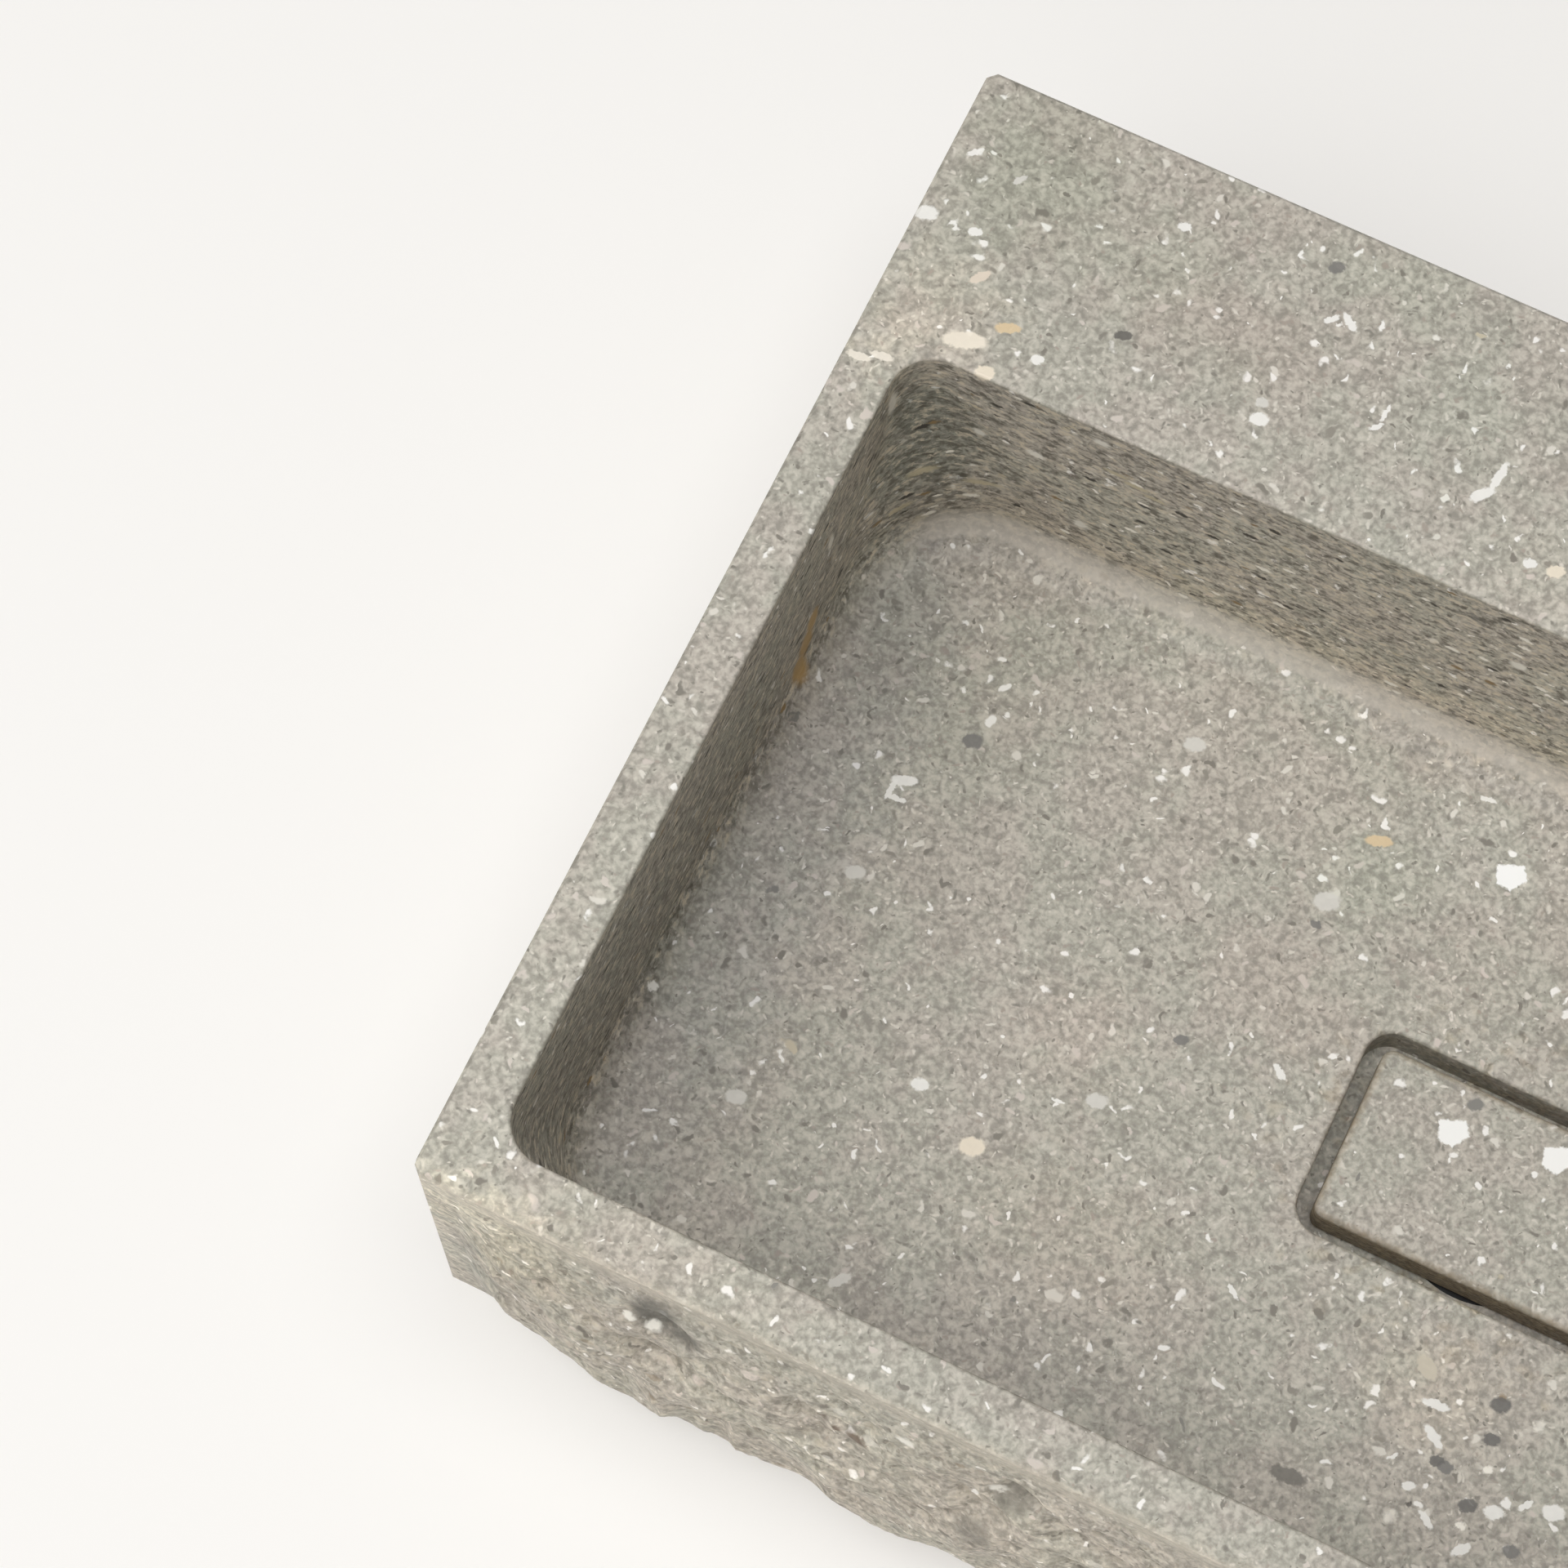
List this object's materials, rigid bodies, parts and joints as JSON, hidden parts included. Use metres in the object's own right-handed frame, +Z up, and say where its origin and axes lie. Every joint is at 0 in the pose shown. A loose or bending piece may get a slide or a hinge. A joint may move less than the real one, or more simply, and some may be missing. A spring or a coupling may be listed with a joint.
{
  "type": "trough sink",
  "caption": "Rectangular stone trough sink with a rock-faced front, a wide back ledge, a deep flat-floored basin and a loose stone cover over a hidden strainer waste.",
  "frame": {"origin": "middle of the underside of the dressed block, which is the face that the sink rests on", "axes": "+X to the right, +Y to the back edge and the wall, +Z up"},
  "size_m": [0.74, 0.5242, 0.18],
  "materials": {
    "limestone": "matte",
    "cover_limestone": "matte",
    "chrome_brass": "polished",
    "stainless": "satin",
    "raw_brass": "satin",
    "black_rubber": "matte",
    "nylon": "matte",
    "clear_silicone": "gloss"
  },
  "bodies": {
    "basin": {"stone_basin": "limestone", "waste_body": "chrome_brass", "flange_seal": "black_rubber", "strainer_plate": "stainless", "strainer_screw": "stainless", "lower_seal": "black_rubber", "slip_washer": "nylon", "ring_nut": "raw_brass"},
    "cover": {"drain_cover": "cover_limestone", "cover_pads": "clear_silicone"}
  },
  "joints": [
    {"name": "cover_lift", "type": "slide", "parent": "basin", "child": "cover", "axis": [0, 0, 1], "range_m": [0, 0.17]}
  ]
}
